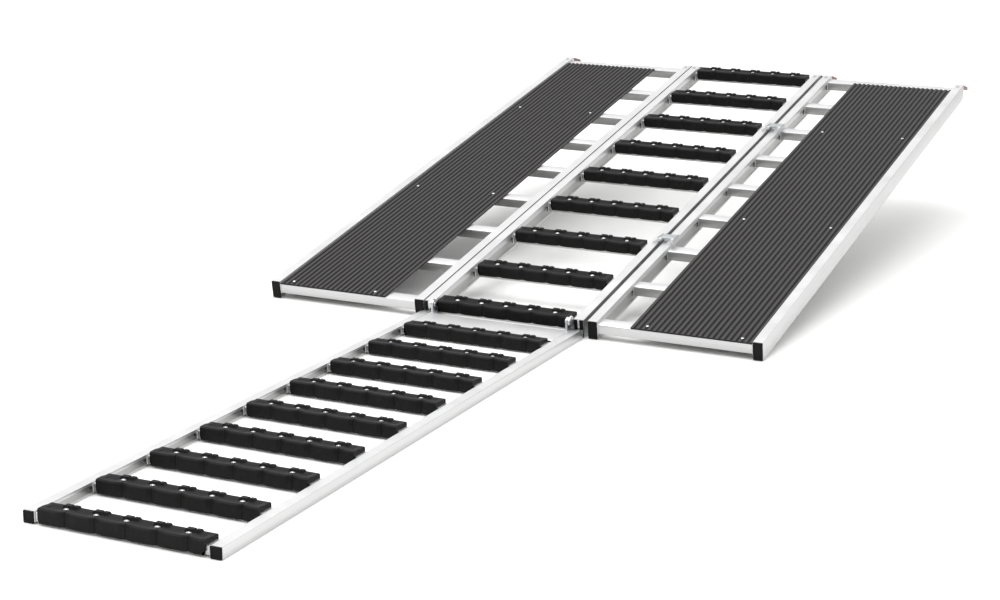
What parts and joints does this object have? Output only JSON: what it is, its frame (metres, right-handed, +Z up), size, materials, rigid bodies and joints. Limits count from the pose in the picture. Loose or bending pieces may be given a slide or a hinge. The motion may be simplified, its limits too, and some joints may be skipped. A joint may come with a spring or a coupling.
{
  "type": "folding loading ramp",
  "caption": "Aluminium ladder-frame loading ramp with hinged side panels, ribbed deck mats, capped rungs, tailgate hooks and a fold-over extension.",
  "frame": {"origin": "on the ground, at the middle of the box that the unfolded ramp fills", "axes": "+Y up the ramp towards the vehicle, +X to the right seen from its foot, +Z up"},
  "size_m": [1.372, 3.663, 0.4049],
  "materials": {
    "frame_aluminium": "mill finish extrusion, satin, welded",
    "plate_aluminium": "mill finish, fine grooves along its length",
    "cap_plastic": "moulded black, soft sheen",
    "mat_plastic": "extruded charcoal with matt ribs",
    "plug_plastic": "moulded black",
    "hook_coating": "dark maroon dipped coating",
    "hinge_steel": "bright zinc plated",
    "pin_steel": "bright zinc plated, turned"
  },
  "bodies": {
    "centre": {"centre_frame": "frame_aluminium", "centre_cap_1": "cap_plastic", "centre_cap_2": "cap_plastic", "centre_cap_3": "cap_plastic", "centre_cap_4": "cap_plastic", "centre_cap_5": "cap_plastic", "centre_cap_6": "cap_plastic", "centre_cap_7": "cap_plastic", "centre_cap_8": "cap_plastic", "centre_cap_9": "cap_plastic", "centre_left_plug": "plug_plastic", "centre_left_hook": "hook_coating", "centre_right_plug": "plug_plastic", "centre_right_hook": "hook_coating", "extension_hinge_pin_right": "pin_steel", "extension_hinge_pin_left": "pin_steel", "right_hinge_inner_pin_lower": "pin_steel", "left_hinge_centre_leaf_lower": "hinge_steel", "left_hinge_pin_lower": "pin_steel", "right_hinge_inner_pin_upper": "pin_steel", "left_hinge_centre_leaf_upper": "hinge_steel", "left_hinge_pin_upper": "pin_steel"},
    "left_panel": {"left_frame": "frame_aluminium", "left_outer_plug": "plug_plastic", "left_outer_hook": "hook_coating", "left_inner_plug": "plug_plastic", "left_inner_hook": "hook_coating", "left_mat": "mat_plastic", "left_hinge_panel_leaf_lower": "hinge_steel", "left_hinge_panel_leaf_upper": "hinge_steel"},
    "right_links": {"right_hinge_link_lower": "hinge_steel", "right_hinge_link_upper": "hinge_steel"},
    "right_panel": {"right_frame": "frame_aluminium", "right_inner_plug": "plug_plastic", "right_inner_hook": "hook_coating", "right_outer_plug": "plug_plastic", "right_outer_hook": "hook_coating", "right_mat": "mat_plastic", "right_hinge_outer_pin_lower": "pin_steel", "right_hinge_outer_pin_upper": "pin_steel"},
    "extension": {"extension_frame": "frame_aluminium", "extension_cap_1": "cap_plastic", "extension_cap_2": "cap_plastic", "extension_cap_3": "cap_plastic", "extension_cap_4": "cap_plastic", "extension_cap_5": "cap_plastic", "extension_cap_6": "cap_plastic", "extension_cap_7": "cap_plastic", "extension_cap_8": "cap_plastic", "extension_cap_9": "cap_plastic", "extension_left_plug": "plug_plastic", "extension_right_plug": "plug_plastic", "transition_plate": "plate_aluminium", "extension_hinge_block_right": "hinge_steel", "extension_hinge_block_left": "hinge_steel"}
  },
  "joints": [
    {"name": "extension_fold", "type": "hinge", "parent": "centre", "child": "extension", "pos_m": [-0.0035, -0.20028, 0.04528], "axis": [-1, 0, 0], "range_deg": [0, 169.7]},
    {"name": "left_panel_fold", "type": "hinge", "parent": "centre", "child": "left_panel", "pos_m": [-0.2275, 0.35107, 0.09232], "axis": [0, -0.9839, -0.1788], "range_deg": [0, 180]},
    {"name": "right_link_swing", "type": "hinge", "parent": "centre", "child": "right_links", "pos_m": [0.2242, 0.33993, 0.15361], "axis": [0, -0.9839, -0.1788], "range_deg": [0, 90]},
    {"name": "right_panel_fold", "type": "hinge", "parent": "right_links", "child": "right_panel", "pos_m": [0.2582, 0.33993, 0.15361], "axis": [0, -0.9839, -0.1788], "range_deg": [0, 90]}
  ],
  "couplings": [
    {"joint": "right_link_swing", "follows": "right_panel_fold", "ratio": 1}
  ]
}
